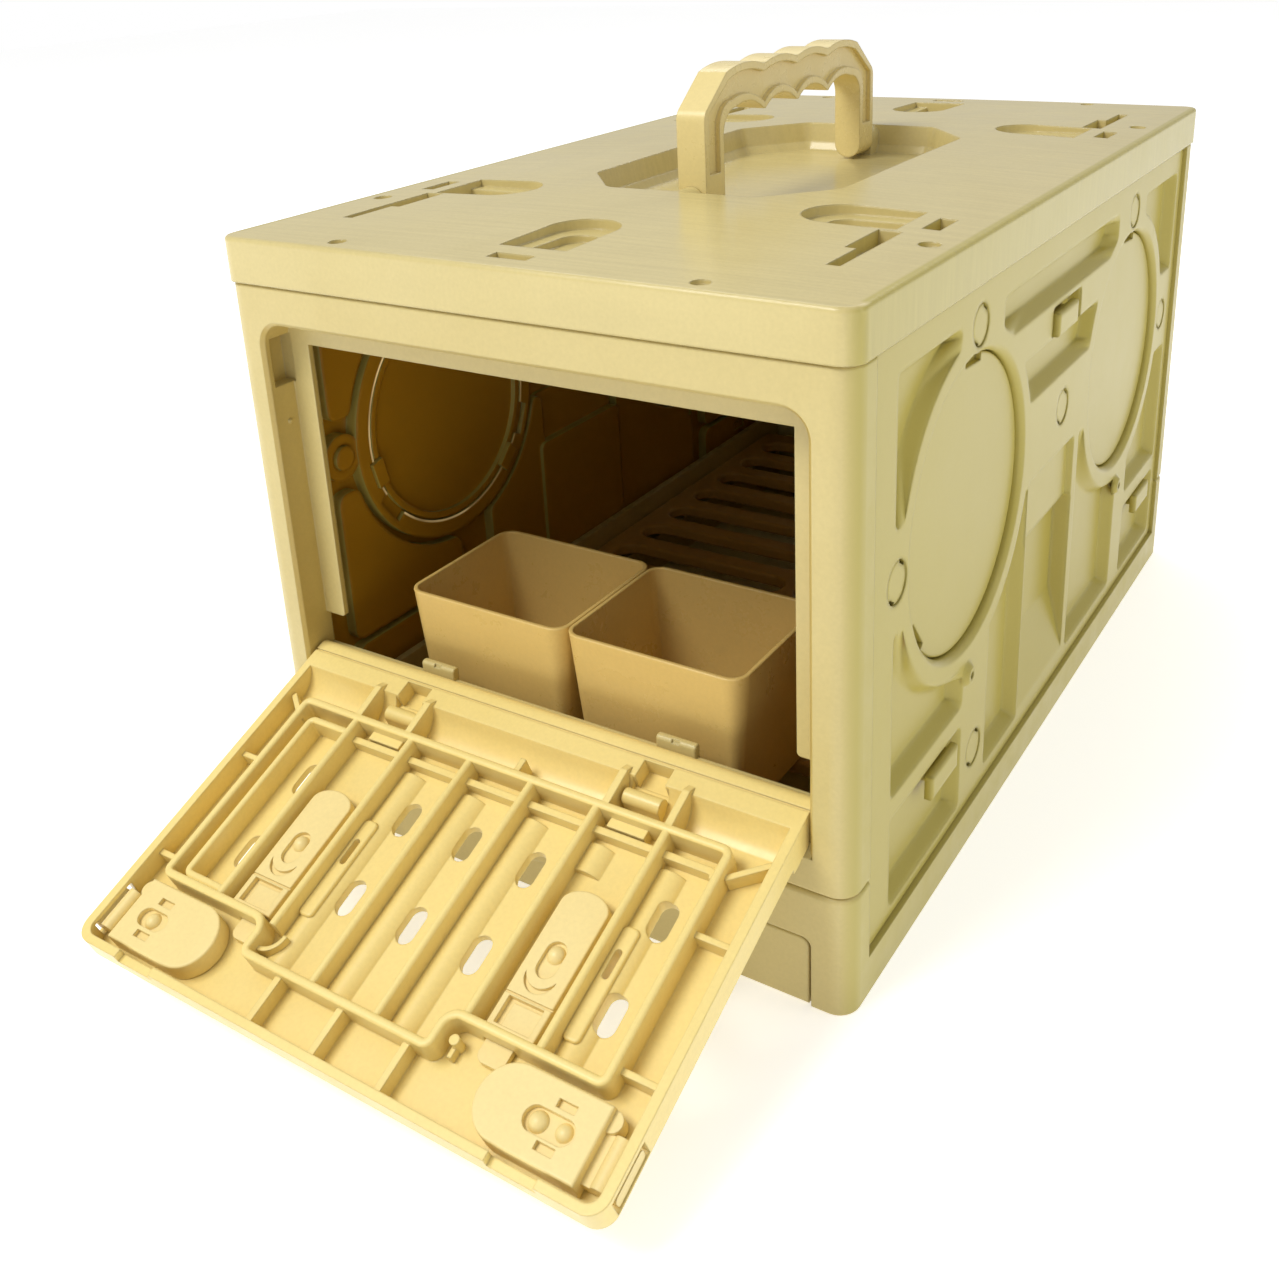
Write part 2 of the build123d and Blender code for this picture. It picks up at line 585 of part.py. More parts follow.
def make_lid():
    full = LID_CROWN - LID_EDGE
    secs = [crown_section(y, s) for y, s in ((-0.6, 0.5), (MID, full), (DEPTH + 0.6, 0.5))]
    lid = loft(Sketch() + secs)
    lid = lid & slab(Pos(0, MID) * RectangleRounded(2 * LID_HX, DEPTH + 1.2, CORNER_R - 0.5), 150, 260)
    top_edges = [e for e in lid.edges() if e.center().Z > LID_EDGE - 1.0]
    lid = soft(lid, top_edges, 1.3)
    # hollow underneath
    lid -= slab(Pos(0, MID) * RectangleRounded(2 * LID_HX - 6.4, DEPTH - 5.2, CORNER_R - 2), 190, LID_EDGE - 3.0)
    # ribs under the roof
    ribs = []
    for y in (24.0, 72.0, 284.0, 332.0):
        ribs.append(bx(-107.6, 107.6, y - 1, y + 1, 203.0, LID_EDGE - 2.6))
    for r in ribs:
        lid += r
    # handle well
    o = [
        (-28, -RECESS_HY), (28, -RECESS_HY), (RECESS_HX, -RECESS_HY + 23), (RECESS_HX, RECESS_HY - 23),
        (28, RECESS_HY), (-28, RECESS_HY), (-RECESS_HX, RECESS_HY - 23), (-RECESS_HX, -RECESS_HY + 23),
    ]
    well = Pos(0, MID) * fillet(poly(*o).vertices(), 6.0)
    pan = extrude(Plane.XY.offset(LID_EDGE - 1.0) * offset(well, 3.0), -(LID_EDGE - 1.0 - RECESS_FLOOR + 2.6), taper=12)
    lid += pan
    cut = extrude(Plane.XY.offset(LID_CROWN + 3) * offset(well, 1.6), -(LID_CROWN + 3 - RECESS_FLOOR - 3.0), taper=12)
    lid -= cut
    lid -= extrude(Plane.XY.offset(RECESS_FLOOR + 3.05) * offset(well, -1.0), -3.05, taper=34)
    # ears that carry the handle's pins
    for s in (-1, 1):
        y_out = MID + s * (RECESS_HY + 1.5)
        y_in = MID + s * (HANDLE_HALF + 0.35)
        y0, y1 = sorted((y_out, y_in))
        ear = cyly(y0, y1, 0, PIVOT_Z, 4.6) + bx(-4.6, 4.6, y0, y1, RECESS_FLOOR - 0.5, PIVOT_Z)
        lid += ear
        # inner ear, behind the leg, low enough for the folded handle to pass
        lid -= cyly(min(y_in, MID + s * 88), max(y_in, MID + s * 88), 0, PIVOT_Z, PIN_R)
    # sunk marks, mirrored front to back and side to side
    def twolevel(sk_out, sk_in):
        nonlocal lid
        lid -= extrude(Plane.XY.offset(LID_CROWN + 2) * sk_out, -(LID_CROWN + 2 - 211.6))
        lid -= extrude(Plane.XY.offset(LID_CROWN + 2) * sk_in, -(LID_CROWN + 2 - 209.2))
    pads = []
    for fx in (1, -1):
        for fy in (1, -1):
            def m(x, y):
                return (fx * x, MID + fy * (y - MID))
            # side mark: flat outer end, round inner end
            xs = sorted((fx * 64.5, fx * 86.5)); ys = sorted((MID + fy * (78 - MID), MID + fy * (103.5 - MID)))
            out = rect(xs[0], xs[1], ys[0], ys[1]) + Pos(*m(64.5, 90.75)) * Circle(12.75)
            xs2 = sorted((fx * 66, fx * 86.5)); ys2 = sorted((MID + fy * (84 - MID), MID + fy * (97.5 - MID)))
            inn = rect(xs2[0], xs2[1], ys2[0], ys2[1]) + Pos(*m(66, 90.75)) * Circle(6.75)
            pads.append((out, inn))
    for fy in (1, -1):
        ys = sorted((MID + fy * (20 - MID), MID + fy * (45 - MID)))
        out = rect(-12, 12, ys[0], ys[1]) + Pos(0, MID + fy * (45 - MID)) * Circle(12)
        ys2 = sorted((MID + fy * (20 - MID), MID + fy * (42 - MID)))
        inn = rect(-6.5, 6.5, ys2[0], ys2[1]) + Pos(0, MID + fy * (42 - MID)) * Circle(6.5)
        pads.append((out, inn))
    # local floors under the marks keep the roof closed
    for out, inn in pads:
        lid += extrude(Plane.XY.offset(206.6) * offset(out, 2.2), 5.0)
    for out, inn in pads:
        twolevel(out, inn)
    # narrow slots and dots
    for fx in (1, -1):
        for fy in (1, -1):
            def box2(x0, x1, y0, y1, z):
                xa, xb = sorted((fx * x0, fx * x1))
                ya, yb = sorted((MID + fy * (y0 - MID), MID + fy * (y1 - MID)))
                return bx(xa, xb, ya, yb, z, 230)
            lid += (box2(80.0, 91.5, 33, 80, 206.6) & bx(-120, 120, 0, DEPTH, 206.6, 211.5))
            lid -= box2(82.0, 89.5, 54, 77, 209.4)
            lid -= box2(85.5, 89.5, 35, 54.2, 209.4)
            lid += (box2(90.0, 100.5, 81, 101, 206.6) & bx(-120, 120, 0, DEPTH, 206.6, 211.5))
            lid -= box2(92.5, 98.0, 83.5, 98.5, 209.4)
            lid -= Pos(fx * 101.5, MID + fy * (67 - MID), 211.9 + 3) * Cylinder(3.2, 6)
            lid -= Pos(fx * 64.0, MID + fy * (6.5 - MID), 212.1 + 3) * Cylinder(2.8, 6)
    for fy in (1, -1):
        ya, yb = sorted((MID + fy * (7.5 - MID), MID + fy * (12.5 - MID)))
        lid -= bx(-7, 7, ya, yb, 211.3, 230)
    return lid


# ------------------------------------------------------------------- handle
def arch(inset, foot_z):
    """Handle outline in (y, z), drawn inset from its edge, down to foot_z."""
    h, top, c, leg = HANDLE_HALF, HANDLE_TOP, MID, 12.5
    d = inset
    o = h - d                      # outer leg
    i = h - leg + d                # inner leg
    tz = top - d                   # crests
    dip = top - 2.0 - d
    uz = top - 14.2 + d            # underside between the fingers
    cz = top - 17.8 + d            # underside cusps
    sh = 52.5 - 0.5 * d            # shoulder's inner end
    q = 25.6
    ed = [
        Line((c - o, foot_z), (c - o, top - 14.0 - 0.2 * d)),
        Line((c - o, top - 14.0 - 0.2 * d), (c - sh, dip)),
    ]
    y0 = -sh
    for y1 in (-q, 0.0, q, sh):
        ed.append(ThreePointArc((c + y0, dip), (c + (y0 + y1) / 2, tz), (c + y1, dip)))
        y0 = y1
    ed += [
        Line((c + sh, dip), (c + o, top - 14.0 - 0.2 * d)),
        Line((c + o, top - 14.0 - 0.2 * d), (c + o, foot_z)),
        Line((c + o, foot_z), (c + i, foot_z)),
        Line((c + i, foot_z), (c + i, uz - 9.0)),
        ThreePointArc((c + i, uz - 9.0), (c + i - 2.4, uz - 2.6), (c + i - 9.0, uz)),
    ]
    y0 = i - 9.0
    for y1 in (q, 0.0, -q):
        ed.append(ThreePointArc((c + y0, uz if y0 > q + 1 else cz), (c + (y0 + y1) / 2, uz + 0.9), (c + y1, cz)))
        y0 = y1
    ed += [
        ThreePointArc((c - q, cz), (c - (q + i - 9.0) / 2, uz + 0.9), (c - i + 9.0, uz)),
        ThreePointArc((c - i + 9.0, uz), (c - i + 2.4, uz - 2.6), (c - i, uz - 9.0)),
        Line((c - i, uz - 9.0), (c - i, foot_z)),
        Line((c - i, foot_z), (c - o, foot_z)),
    ]
    return make_face(Curve() + ed)


def make_handle():
    """Grip with four finger hollows, an I in section, on two legs with round feet."""
    h, c, leg = HANDLE_HALF, MID, 12.5
    w = HANDLE_W / 2
    body = slab_yz(arch(0.0, PIVOT_Z), -w, w)
    dips = [e for e in body.edges().filter_by(Axis.X) if e.center().Z > HANDLE_TOP - 2.5 and abs(e.center().Y - c) < 30]
    body = soft(body, dips, 9.0)
    cusps = [e for e in body.edges().filter_by(Axis.X) if abs(e.center().Z - (HANDLE_TOP - 17.8)) < 0.6 and abs(e.center().Y - c) < 30]
    body = soft(body, cusps, 1.6)
    knees = [e for e in body.edges().filter_by(Axis.X) if abs(e.center().Z - (HANDLE_TOP - 14.0)) < 0.5 and abs(e.center().Y - c) > 60]
    body = soft(body, knees, 5.0)
    for s in (-1, 1):
        y0, y1 = sorted((c + s * h, c + s * (h - leg)))
        body += cyly(y0, y1, 0, PIVOT_Z, w)
    ch = slab_yz(arch(2.6, PIVOT_Z + 8.0), w - 1.8, w + 2)
    body -= ch
    body -= mirror(ch, Plane.YZ)
    for s in (-1, 1):
        y0, y1 = sorted((c + s * (h + 1), c + s * (h - leg + 3.6)))
        body -= cyly(y0, y1, 0, PIVOT_Z, PIN_R + 0.05)
    return body


def make_handle_pins():
    out = []
    for s in (-1, 1):
        y0, y1 = sorted((MID + s * (RECESS_HY + 4.0), MID + s * (HANDLE_HALF - 8.6)))
        out.append(cyly(y0, y1, 0, PIVOT_Z, PIN_R))
    return group(*out)


# --------------------------------------------------------------------- door
def door_place(s):
    return Pos(*DOOR_ORG) * Rot(DOOR_TILT, 0, 0) * s


RIB_X = (-60.0, -36.0, -12.0, 12.0, 36.0, 60.0)
SLOT_X = (-67.5, -24.0, 0.0, 24.0, 69.5)


def dbar(x0, x1, v0, v1, h0, h1):
    return bx(x0, x1, v0, v1, h0, h1)


def make_door():
    hx = DOOR_HX
    L = DOOR_LEN
    F = DOOR_FLOOR
    S = DOOR_SKIN
    # outer skin and rim
    plan = poly((-hx, -L), (hx, -L), (hx, 0), (-hx, 0))
    plan = fillet(plan.vertices().filter_by(lambda v: v.Y < -L + 1), 6.0)
    d = slab(plan, S, 0.0)
    d = soft(d, d.faces().sort_by(Axis.Z)[0].edges().filter_by(lambda e: e.center().Y < -0.5), 2.4)
    inner = poly((-hx + 3, -L + 2.6), (hx - 3, -L + 2.6), (hx - 3, 0.5), (-hx + 3, 0.5))
    inner = fillet(inner.vertices().filter_by(lambda v: v.Y < -L + 4), 3.5)
    d -= slab(inner, F, 5.0)
    # hinge end: bead, flat land, and a cove down to the floor, drawn as (v, h)
    prof = [
        (-8.6, F), (-6.4, -6.4), (-4.4, -4.2), (-2.9, -2.2), (-1.6, -0.5), (-0.4, 0.0),
    ]
    pr = Polyline((-8.6, F - 0.6), (-8.6, F))
    cove = ThreePointArc((-8.6, F), (-3.6, -4.9), (-0.9, 0.0))
    land = Line((-0.9, 0.0), (HINGE_V, 0.0))
    bead = ThreePointArc((HINGE_V, 0.0), (HINGE_V + HINGE_R, HINGE_H), (HINGE_V, HINGE_H - HINGE_R))
    back = Line((HINGE_V, HINGE_H - HINGE_R), (0.0, S))
    bot = Line((0.0, S), (-8.6, S))
    up = Line((-8.6, S), (-8.6, F))
    hs = make_face(Curve() + [cove, land, bead, back, bot, up])
    hinge_end = slab_yz(hs, -hx, hx)
    # long shallow gutter in the land, next to the bead
    hinge_end -= slab_yz(rect(5.6, 6.3, -0.5, 1.0), -hx - 1, hx + 1)
    d += hinge_end
    # loop wall: a tall rib with rounded corners that frames the middle
    loop = [
        (-84.0, -13.0), (80.5, -13.0), (80.5, -83.0), (51.0, -83.0), (31.0, -83.0), (31.0, -93.5),
        (-38.5, -93.5), (-38.5, -83.0), (-84.0, -83.0),
    ]

    def ring(pts, width, radii):
        f = poly(*pts)
        f = fillet(f.vertices(), radii)
        return f - offset(f, -width)

    outer_loop = ring(
        [(-84.0, -12.2), (81.7, -12.2), (81.7, -84.2), (32.4, -84.2), (32.4, -94.8), (-39.8, -94.8), (-39.8, -84.2), (-84.0, -84.2)],
        2.5, 3.4)
    lo = slab(outer_loop, F - 0.3, 1.0)
    lo = soft(lo, lo.faces().sort_by(Axis.Z)[-1].edges(), 0.9)
    d += lo
    # second, lower loop just inside it, taller down the left cell
    inner_loop = ring(
        [(-77.4, -18.2), (79.0, -18.2), (79.0, -81.6), (-77.4, -81.6)], 2.2, 3.0)
    low = slab(inner_loop, F - 0.3, -3.4)
    d += low & bx(-100, 100, -21.5, -10, -20, 20)
    left = slab(inner_loop, F - 0.3, 0.4) & bx(-90, -60.5, -90, -10, -20, 20)
    left = soft(left, left.faces().sort_by(Axis.Z)[-1].edges(), 0.8)
    d += left
    # long ribs
    for i, x in enumerate(RIB_X):
        v1 = -94.0 if x in (-12.0, 12.0) else -83.5
        r = bx(x - 1.25, x + 1.25, v1, -13.0, F - 0.3, 0.6)
        r = soft(r, r.faces().sort_by(Axis.Z)[-1].edges().filter_by(Axis.Y), 1.1)
        d += r
        # half-round foot along one side of each rib
        if x != -60.0:
            v0 = -91.5 if x in (-36.0, -12.0, 12.0) else -80.5
            if x == 36.0:
                v0 = -32.0
            foot = Pos(x + 4.6, 0, F - 3.6) * (cyly(v0, -22.6, 0, 0, 6.0))
            d += foot & bx(x - 1, x + 11, -100, 0, F - 0.5, 0)
    # ribs 1 and 6 run on towards the hinge with sloping crowns; gussets beside the hinge pockets
    for x in (-60.0, -38.4, 38.4, 60.0):
        g = poly((-14.0, F - 0.3), (-14.0, 0.8), (-1.0, 1.6), (1.6, 0.0), (1.6, F - 0.3))
        d += slab_yz(g, x - 1.2, x + 1.2)
    # short braces
    for x in (-24.0, 0.0, 24.0):
        d += bx(x - 1.1, x + 1.1, -L + 1.5, -94.0, F - 0.3, -2.0)
    for v in (-38.0, -77.5):
        d += bx(81.0, 94.5, v - 0.9, v + 0.9, F - 0.3, -2.6)
        d += bx(-94.5, -83.0, v - 0.9, v + 0.9, F - 0.3, -2.6)
    for s in (-1, 1):
        dg = Pos(s * 87.0, -16.2, (F - 2.6) / 2) * Rot(0, 0, s * 38) * Box(13.5, 1.8, abs(F) - 2.6 + 0.6)
        d += dg & bx(-hx + 1, hx - 1, -30, -8, -20, 5)
    d += bx(3.6, 5.6, -13, -7.6, F - 0.3, -0.4)
    # vent slots right through
    cuts = []
    for x in SLOT_X:
        for v in (-36.4, -64.9):
            cuts.append(slab(stadium(x, v, 12.0, 6.0), -30, F + 0.2))
            cuts.append(slab(stadium(x, v, 12.0, 6.0), F - 0.2, -3.8) & bx(x - 10, x + 10, -100, 0, -30, -3.8))
    d = d - cuts
    # long pads with a slit on the right of ribs 2 and 6
    for x in (-32.2, 63.8):
        pad = slab(rrect(x - 2.6, x + 2.6, -76, -42, 1.6), F - 0.3, -4.2)
        pad = soft(pad, pad.faces().sort_by(Axis.Z)[-1].edges(), 0.7)
        d += pad
        d -= slab(stadium(x, -53.5, 9.0, 2.2), -30, 0)
    # arc rib in the jog at the left of the far wall, small peg at the right one
    arc = Pos(-37.3, -84.2) * (Circle(6.6) - Circle(5.2))
    d += slab(arc, F - 0.3, -2.6) & bx(-37.6, -28, -93, -84.0, -20, 5)
    d += cylz(F - 0.3, -2.4, 35.6, -88.6, 1.5)
    d += bx(34.9, 36.3, -92.6, -88.6, F - 0.3, -4.6)
    # hinge pockets: square sinks in the land, each with its ledge
    for xc in (-47.0, 47.0):
        d -= bx(xc - 5.2, xc + 5.2, -1.2, 5.0, -6.2, 10)
        d -= bx(xc - 6.4, xc + 6.4, -8.4, -1.1, F + 2.0, 10)
        ledge = cylx(xc - 6.4, xc + 6.4, -6.2, -3.6, 2.6) + bx(xc - 6.4, xc + 6.4, -8.8, -3.6, F - 0.3, -3.6)
        d += ledge
        d += bx(xc - 6.4, xc + 6.4, -17.6, -14.4, F - 0.3, -3.0)
    # bores for the hinge pins
    for s in (-1, 1):
        d -= cylx(s * 87.9, s * 98, HINGE_V, HINGE_H, 1.5)
    # latch housings: side windows through the rim, notches in the far rim
    for s in (-1, 1):
        d -= bx(s * 90, s * 120, -105.6, -90.2, F + 0.25, -1.5)
        d -= bx(s * 62, s * 77, -L - 2, -L + 4, -2.6, 3)
    # channels between ribs 1-2 and 5-6 are open at the far end for the slide locks
    for s in (-1, 1):
        d -= bx(s * 41.3, s * 51.7, -86.0, -79.0, F, -4.7)
    return door_place(d)


def make_latch(s):
    """Sliding bolt: rounded plate, neck and bolt tip. s = +1 right, -1 left."""
    F = DOOR_FLOOR
    zt = -0.5
    x_in, x_out = 50.0, 85.5
    v0, v1 = -106.6, -86.2
    vc = (v0 + v1) / 2
    R = (v1 - v0) / 2
    plate = rect(x_in + R, x_out, v0, v1) + Pos(x_in + R, vc) * Circle(R)
    b = slab(plate, -3.1, zt)
    b += slab(plate, F + 0.35, -3.0) - slab(rect(x_in + R - 2, x_out - 2.5, v0 + 2.5, v1 - 2.5) + Pos(x_in + R, vc) * Circle(R - 2.5), F, -3.0)
    b = soft(b, b.faces().sort_by(Axis.Z)[-1].edges(), 0.6)
    # neck and bolt
    b += bx(x_out - 0.5, 88.6, -104.4, -91.4, F + 0.6, -3.6)
    bolt = bx(88.2, 95.6, -104.4, -91.4, F + 0.6, -3.2)
    bolt = soft(bolt, bolt.edges().filter_by(Axis.X), 1.2)
    b += bolt
    b += cyly(-104.4, -91.4, 90.6, -4.3, 2.6)
    b += cylz(F + 0.35, -2.6, 85.9, -89.1, 2.8)
    # relief: two square marks, a dome in an oval moat
    for v in (-91.3, -102.2):
        b -= bx(71.6, 77.2, v - 1.1, v + 1.1, -1.9, 2)
    if s > 0:
        moat = stadium(72.4, -97.0, 15.0, 6.6, "x")
        b -= slab(moat, -2.2, 2)
        b += (Pos(68.8, -97.0, -2.9) * Sphere(2.9)) & bx(60, 80, -101, -93, -3.05, 1)
        b += (Pos(76.4, -96.6, -3.2) * Sphere(2.6)) & bx(60, 80, -101, -93, -3.05, 1)
    else:
        moat = stadium(74.8, -97.0, 11.5, 5.8, "x")
        b -= slab(moat, -2.2, 2)
        b += (Pos(75.6, -97.0, -2.9) * Sphere(2.7)) & bx(60, 80, -101, -93, -3.05, 1)
    if s < 0:
        b = mirror(b, Plane.YZ)
    return door_place(b)


def make_slider(s):
    """Slide lock between two ribs: long plate with a round head, a window and a tab."""
    F = DOOR_FLOOR
    xc = 48.6
    zt = -2.4
    w = 7.8
    head = rect(xc - w, xc + w, -81.4, -38.0 - 5.0)
    head = head + (Pos(xc, -43.0) * (Ellipse(w, 5.0)))
    b = slab(head, F + 0.3, zt)
    b = soft(b, b.faces().sort_by(Axis.Z)[-1].edges(), 0.5)
    t0 = 42.0 if s > 0 else 2 * xc - 51.0
    tab = rrect(t0, t0 + 9.0, -90.0, -80.0, 2.6)
    b += slab(tab, F + 0.3, -5.2)
    # window near the far end, step line above it
    b -= bx(xc - 5.8, xc + 5.8, -80.2, -72.4, -4.2, 1)
    b += bx(xc - 3.8, xc + 5.8, -80.2, -73.4, -4.3, -3.4)
    b -= bx(xc - w, xc + w, -71.9, -71.3, -3.0, 1)
    # thumb relief: a dome in an oval moat, with a crescent groove below it
    moat = stadium(xc - 0.3, -59.6, 11.0, 6.4)
    b -= slab(moat, zt - 1.3, 1)
    b += (Pos(xc - 0.3, -57.6, zt - 1.8) * Sphere(2.7)) & bx(xc - 6, xc + 6, -64, -54, zt - 1.5, 2)
    cres = Pos(xc - 0.3, -64.6) * Circle(5.0) - Pos(xc - 0.3, -62.6) * Circle(5.4)
    b -= slab(cres, zt - 1.0, 1)
    if s < 0:
        b = Pos(-2 * xc, 0, 0) * b
    return door_place(b)


def make_door_pins():
    out = []
    for s in (-1, 1):
        out.append(cylx(s * 88.0, s * 99.8, HINGE_V, HINGE_H, 1.5))
    return door_place(group(*out))


# --------------------------------------------------------------------- cups
def make_cup(x0, x1):
    y0 = 20.0
    top = rrect(x0, x1, y0, y0 + CUP_D, 6.2)
    z1 = GRILLE_TOP + 0.1 + CUP_H
    out = extrude(Plane.XY.offset(z1) * top, -CUP_H, taper=CUP_TAPER)
    inn = extrude(Plane.XY.offset(z1 + 0.01) * offset(top, -1.5), -(CUP_H - 1.8), taper=CUP_TAPER)
    c = out - inn
    c = soft(c, c.faces().sort_by(Axis.Z)[0].edges(), 1.0)
    c = soft(c, c.faces().sort_by(Axis.Z)[-1].edges(), 0.4)
    return c


if __name__ == "__main__":
    write("base_tub", make_base())
    write("waste_tray", make_tray())
    write("floor_grille", make_grille())
    write("front_frame", make_front_frame())
    write("rear_frame", make_rear_frame())
    write("rear_panel", make_rear_panel())
    panel = make_side_panel()
    write("side_panel_right", panel)
    write("side_panel_left", mirrored(panel))
    plugs = make_plugs()
    write("side_plugs_right", plugs)
    write("side_plugs_left", mirrored(plugs))
    hooks = make_hooks()
    write("strap_hooks_right", hooks)
    write("strap_hooks_left", mirrored(hooks))
    h1 = make_hatch(HATCH_Y[0])
    h2 = make_hatch(HATCH_Y[1])
    write("hatch_right_front", h1)
    write("hatch_right_rear", h2)
    write("hatch_left_front", mirrored(h1))
    write("hatch_left_rear", mirrored(h2))
    write("lid", make_lid())
    write("handle", make_handle())
    write("handle_pins", make_handle_pins())
    write("door", make_door())
    write("door_hinge_pins", make_door_pins())
    write("door_latch_right", make_latch(1))
    write("door_latch_left", make_latch(-1))
    write("slide_lock_right", make_slider(1))
    write("slide_lock_left", make_slider(-1))
    write("feed_cup_left", make_cup(-65.9, -0.35))
    write("feed_cup_right", make_cup(-0.2, 65.1))
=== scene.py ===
import math

import bpy
import bmesh
from mathutils import Matrix, Vector

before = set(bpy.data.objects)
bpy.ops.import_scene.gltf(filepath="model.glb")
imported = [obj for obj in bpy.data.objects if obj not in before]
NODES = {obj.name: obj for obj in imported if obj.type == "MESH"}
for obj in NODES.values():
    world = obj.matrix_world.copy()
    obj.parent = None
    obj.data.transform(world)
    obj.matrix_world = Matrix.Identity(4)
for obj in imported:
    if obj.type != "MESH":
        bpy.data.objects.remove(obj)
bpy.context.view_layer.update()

scene = bpy.context.scene


# ---------------------------------------------------------------- materials
def srgb(r, g, b):
    def f(c):
        c = c / 255.0
        return c / 12.92 if c <= 0.04045 else ((c + 0.055) / 1.055) ** 2.4
    return (f(r), f(g), f(b), 1.0)


class Mat:
    """Small helper that strings shader nodes together."""

    def __init__(self, name):
        self.m = bpy.data.materials.new(name)
        self.m.use_nodes = True
        self.t = self.m.node_tree
        self.t.nodes.clear()
        self.x = -1400

    def node(self, kind, **props):
        n = self.t.nodes.new(kind)
        n.location = (self.x, 0)
        self.x += 60
        for k, v in props.items():
            setattr(n, k, v)
        return n

    def link(self, a, b):
        self.t.links.new(a, b)


def plastic(name, base, rough=0.34, skin=0.00010, drift=0.30, flow=11.0, streak=0.0, inner_shade=None,
            bevel=0.0008, rub=0.35, scuff=0.10, spec=0.5, flank_shade=None, glow=False, outside=None, speck=0.03):
    """Moulded plastic: melt drift in tone, speckle, skin texture, scuffs, paler rubbed edges, painted greener shade on
    the flanks, painted browner and darker shade on the side that faces the cabin, and a painted glow round the hatches.
    """
    k = Mat(name)
    N, L = k.node, k.link
    dark = tuple(c * f for c, f in zip(base[:3], (0.90, 0.88, 0.80))) + (1.0,)
    light = tuple(min(1.0, c * f) for c, f in zip(base[:3], (1.07, 1.08, 1.16))) + (1.0,)
    tex = N("ShaderNodeTexCoord")
    co = tex.outputs["Object"]
    geo = N("ShaderNodeNewGeometry")

    # slow tone drift along the flow of the melt
    mp = N("ShaderNodeMapping"); mp.inputs["Scale"].default_value = (1.0, 0.55, 1.3)
    L(co, mp.inputs["Vector"])
    n1 = N("ShaderNodeTexNoise"); n1.inputs["Scale"].default_value = flow; n1.inputs["Detail"].default_value = 4.0
    n1.inputs["Roughness"].default_value = 0.55; n1.inputs["Distortion"].default_value = 0.6
    L(mp.outputs["Vector"], n1.inputs["Vector"])
    r1 = N("ShaderNodeMapRange"); r1.inputs["From Min"].default_value = 0.3; r1.inputs["From Max"].default_value = 0.7
    r1.inputs["To Min"].default_value = 0.5 - drift; r1.inputs["To Max"].default_value = 0.5 + drift
    L(n1.outputs["Fac"], r1.inputs["Value"])
    ramp = N("ShaderNodeValToRGB")
    ramp.color_ramp.elements[0].position = 0.0; ramp.color_ramp.elements[0].color = dark
    ramp.color_ramp.elements[1].position = 1.0; ramp.color_ramp.elements[1].color = light
    mid = ramp.color_ramp.elements.new(0.5); mid.color = base
    L(r1.outputs["Result"], ramp.inputs["Fac"])
    color = ramp.outputs["Color"]

    # fine speckle
    n2 = N("ShaderNodeTexNoise"); n2.inputs["Scale"].default_value = 800.0; n2.inputs["Detail"].default_value = 2.0
    L(co, n2.inputs["Vector"])
    r2 = N("ShaderNodeMapRange"); r2.inputs["From Min"].default_value = 0.25; r2.inputs["From Max"].default_value = 0.75
    r2.inputs["To Min"].default_value = 1.0 - speck; r2.inputs["To Max"].default_value = 1.0 + speck
    L(n2.outputs["Fac"], r2.inputs["Value"])
    m2 = N("ShaderNodeVectorMath", operation="SCALE")
    L(color, m2.inputs[0]); L(r2.outputs["Result"], m2.inputs["Scale"])
    color = m2.outputs["Vector"]

    # soft edges, and rubbed paler along them
    bev = N("ShaderNodeBevel"); bev.samples = 4; bev.inputs["Radius"].default_value = bevel
    dot = N("ShaderNodeVectorMath", operation="DOT_PRODUCT")
    L(bev.outputs["Normal"], dot.inputs[0]); L(geo.outputs["Normal"], dot.inputs[1])
    re = N("ShaderNodeMapRange"); re.inputs["From Min"].default_value = 0.995; re.inputs["From Max"].default_value = 0.86
    re.inputs["To Min"].default_value = 0.0; re.inputs["To Max"].default_value = rub
    L(dot.outputs["Value"], re.inputs["Value"])
    me = N("ShaderNodeMix", data_type="RGBA", blend_type="MIX")
    me.inputs[7].default_value = light
    L(re.outputs["Result"], me.inputs[0]); L(color, me.inputs[6])
    color = me.outputs[2]

    pos = N("ShaderNodeSeparateXYZ"); L(co, pos.inputs[0])
    nrm = N("ShaderNodeSeparateXYZ"); L(geo.outputs["Normal"], nrm.inputs[0])
    mx = N("ShaderNodeMath", operation="MULTIPLY"); L(pos.outputs["X"], mx.inputs[0]); L(nrm.outputs["X"], mx.inputs[1])
    # painted shade: the flanks are tinted to the greener tone of the side panels, for the light that falls on them
    if flank_shade:
        rf = N("ShaderNodeMapRange"); rf.inputs["From Min"].default_value = 0.045; rf.inputs["From Max"].default_value = 0.10
        L(mx.outputs["Value"], rf.inputs["Value"])
        # painted shade: the narrow ledges beside them get the same tint
        ax = N("ShaderNodeMath", operation="ABSOLUTE"); L(pos.outputs["X"], ax.inputs[0])
        rl = N("ShaderNodeMapRange"); rl.inputs["From Min"].default_value = 0.1076; rl.inputs["From Max"].default_value = 0.1086
        L(ax.outputs[0], rl.inputs["Value"])
        rb = N("ShaderNodeMapRange"); rb.inputs["From Min"].default_value = -0.172; rb.inputs["From Max"].default_value = -0.170
        L(pos.outputs["Y"], rb.inputs["Value"])
        lb = N("ShaderNodeMath", operation="MULTIPLY"); L(rl.outputs["Result"], lb.inputs[0]); L(rb.outputs["Result"], lb.inputs[1])
        fm = N("ShaderNodeMath", operation="MAXIMUM"); L(rf.outputs["Result"], fm.inputs[0]); L(lb.outputs[0], fm.inputs[1])
        mf = N("ShaderNodeMix", data_type="RGBA", blend_type="MIX")
        mf.inputs[7].default_value = flank_shade
        L(fm.outputs[0], mf.inputs[0]); L(color, mf.inputs[6])
        color = mf.outputs[2]
